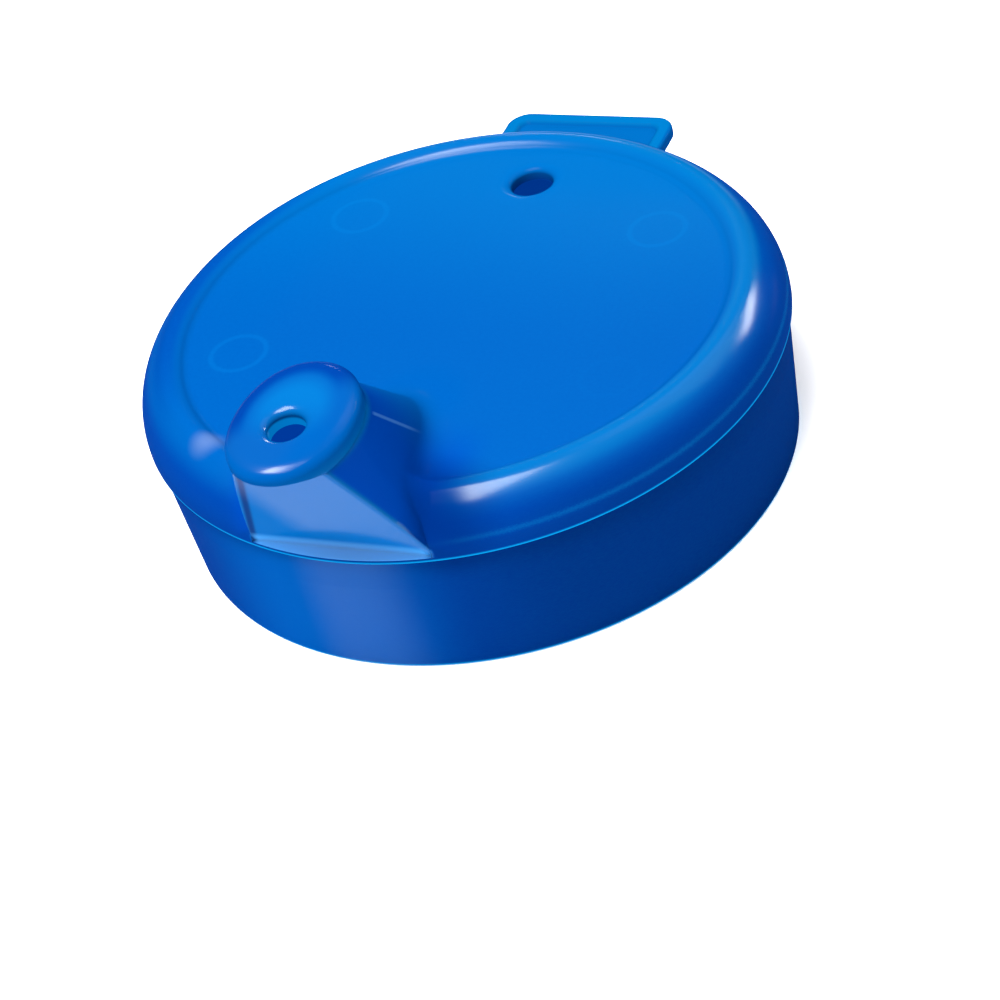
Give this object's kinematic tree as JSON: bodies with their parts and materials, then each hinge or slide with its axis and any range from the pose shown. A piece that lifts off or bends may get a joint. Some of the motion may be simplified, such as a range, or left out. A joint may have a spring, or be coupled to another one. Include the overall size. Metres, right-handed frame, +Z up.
{
  "type": "spouted beaker lid",
  "caption": "Round press-in lid for a drinking beaker, with a flat-fronted oval drinking spout at one edge, an air vent and a pull tab opposite it.",
  "frame": {"origin": "on the lid's axis, in the plane of the ledge that rests on the beaker's rim", "axes": "+Z up out of the beaker, +Y towards the pull tab and the vent, -Y towards the drinking spout"},
  "size_m": [0.074, 0.0899, 0.0365],
  "materials": {
    "blue_polypropylene": "glossy translucent blue polypropylene, lighter where it is thin and at its edges"
  },
  "bodies": {
    "root": {"plug_skirt": "blue_polypropylene", "lip_flange": "blue_polypropylene", "rim_shoulder": "blue_polypropylene", "rim_crest": "blue_polypropylene", "top_panel": "blue_polypropylene", "vent_collar": "blue_polypropylene", "spout_body": "blue_polypropylene", "spout_face": "blue_polypropylene", "spout_mouthpiece": "blue_polypropylene", "drink_collar": "blue_polypropylene", "pull_tab": "blue_polypropylene", "tab_grip_bead": "blue_polypropylene"}
  },
  "joints": []
}
